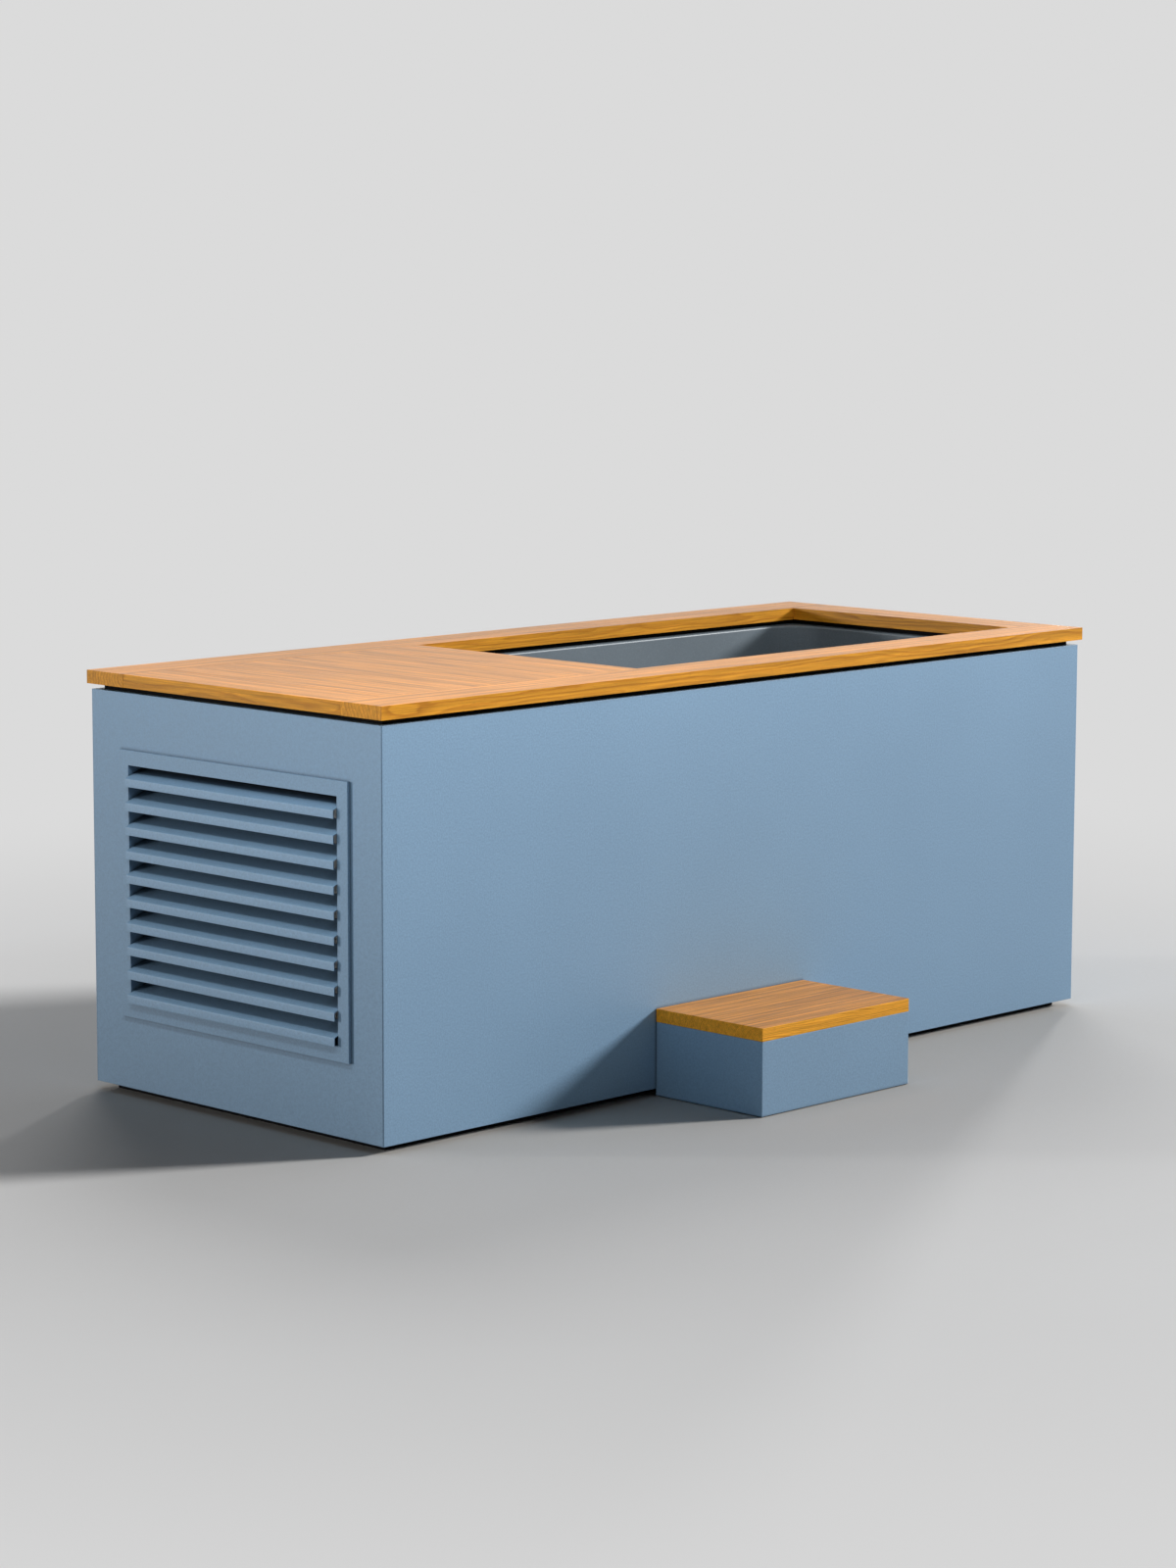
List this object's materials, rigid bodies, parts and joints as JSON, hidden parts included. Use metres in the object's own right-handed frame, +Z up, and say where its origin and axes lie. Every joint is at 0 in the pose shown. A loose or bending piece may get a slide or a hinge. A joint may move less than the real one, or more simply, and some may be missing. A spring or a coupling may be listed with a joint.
{
  "type": "cold plunge tub",
  "caption": "Rectangular cold plunge tub with a louvred cooling bay at one end, a timber top rim with a lift-off hatch, an insulated liner and a loose step.",
  "frame": {"origin": "centre of the tub's footprint on the floor, the step left out", "axes": "+X along the tub away from the louvred end, +Y from the step's side to the back, +Z up"},
  "size_m": [2.123, 1.1676, 0.853],
  "materials": {
    "blue_coat": "fine-textured satin powder coat, grey-blue",
    "black_board": "matt black board edge",
    "teak": "oiled teak, warm golden brown",
    "step_teak": "oiled teak, browner and finer in grain",
    "liner_gelcoat": "fine speckled satin, blue-grey",
    "foam_board": "closed-cell foam board, matt cream",
    "zinc_steel": "zinc-plated, dull",
    "dark_plastic": "moulded, fine grain",
    "coil_aluminium": "mill finish fins on copper tube",
    "copper_line": "bright drawn copper",
    "stainless": "satin stainless",
    "red_plastic": "moulded, glossy",
    "grey_pipe": "extruded pipe, satin",
    "motor_black": "black enamel",
    "chiller_jacket": "foam-jacketed vessel, dull",
    "fan_plastic": "moulded, satin",
    "white_plastic": "moulded, satin",
    "filter_pleat": "pleated white polyester",
    "inlet_black": "moulded, semi-gloss",
    "black_rubber": "matt"
  },
  "bodies": {
    "root": {"plinth_bars": "black_board", "base_rails": "zinc_steel", "frame_posts": "zinc_steel", "top_rails": "zinc_steel", "machine_pan": "zinc_steel", "bulkhead": "zinc_steel", "front_panel": "blue_coat", "back_panel": "blue_coat", "louvre_end_panel": "blue_coat", "tub_end_panel": "blue_coat", "louvre_frame": "blue_coat", "louvre_blades": "blue_coat", "spacer_bars": "black_board", "front_rail": "teak", "back_rail": "teak", "tub_end_rail": "teak", "bay_end_rail": "teak", "rail_screws": "zinc_steel", "tub_liner": "liner_gelcoat", "tub_insulation": "foam_board", "suction_fitting": "dark_plastic", "return_fitting": "dark_plastic", "drain_fitting": "dark_plastic", "cooling_tray": "zinc_steel", "condenser_coil": "coil_aluminium", "condenser_plates": "zinc_steel", "fan_shroud": "dark_plastic", "fan_bracket": "zinc_steel", "fan_motor": "motor_black", "compressor": "motor_black", "compressor_mounts": "black_rubber", "water_chiller": "chiller_jacket", "discharge_line": "copper_line", "liquid_line": "copper_line", "refrigerant_return": "copper_line", "suction_valve": "stainless", "filter_bowl": "dark_plastic", "filter_cartridge": "filter_pleat", "pump_housing": "dark_plastic", "pump_motor": "motor_black", "riser_pipe": "grey_pipe", "crossover_pipe": "grey_pipe", "lamp_vessel": "stainless", "return_valve": "stainless", "drain_valve": "stainless", "drain_pipe": "grey_pipe", "control_box": "dark_plastic", "power_inlet": "inlet_black"},
    "fan": {"fan_rotor": "fan_plastic"},
    "impeller": {"pump_impeller": "white_plastic"},
    "hatch": {"hatch_staves": "teak", "hatch_battens": "teak"},
    "canister_lid": {"filter_lid": "dark_plastic"},
    "suction_tap": {"suction_handle": "red_plastic"},
    "return_tap": {"return_handle": "red_plastic"},
    "drain_tap": {"drain_handle": "red_plastic"},
    "rocker": {"power_switch": "red_plastic"},
    "step": {"step_box": "blue_coat", "step_tread": "step_teak", "step_pads": "black_rubber"}
  },
  "joints": [
    {"name": "fan_spin", "type": "hinge", "parent": "root", "child": "fan", "pos_m": [-0.88, 0, 0.4325], "axis": [1, 0, 0], "continuous": true},
    {"name": "impeller_spin", "type": "hinge", "parent": "root", "child": "impeller", "pos_m": [-0.5526, 0.003, 0.1365], "axis": [0, 1, 0], "continuous": true},
    {"name": "hatch_lift", "type": "slide", "parent": "root", "child": "hatch", "axis": [0, 0, 1], "range_m": [0, 0.35]},
    {"name": "canister_lid_turn", "type": "hinge", "parent": "root", "child": "canister_lid", "pos_m": [-0.5526, -0.195, 0.4585], "axis": [0, 0, 1], "range_deg": [0, 60]},
    {"name": "suction_tap_turn", "type": "hinge", "parent": "root", "child": "suction_tap", "pos_m": [-0.3599, -0.195, 0.1948], "axis": [0, 0, 1], "range_deg": [0, 90]},
    {"name": "return_tap_turn", "type": "hinge", "parent": "root", "child": "return_tap", "pos_m": [-0.3599, 0.195, 0.2785], "axis": [0, 0, 1], "range_deg": [0, 90]},
    {"name": "drain_tap_turn", "type": "hinge", "parent": "root", "child": "drain_tap", "pos_m": [-0.3886, 0.281, 0.1748], "axis": [0, 0, 1], "range_deg": [0, 90]},
    {"name": "rocker_tip", "type": "hinge", "parent": "root", "child": "rocker", "pos_m": [-0.3986, -0.055, 0.6585], "axis": [0, 1, 0], "range_deg": [-16, 0]},
    {"name": "step_slide", "type": "slide", "parent": "root", "child": "step", "axis": [0, -1, 0], "range_m": [0, 0.5]}
  ]
}
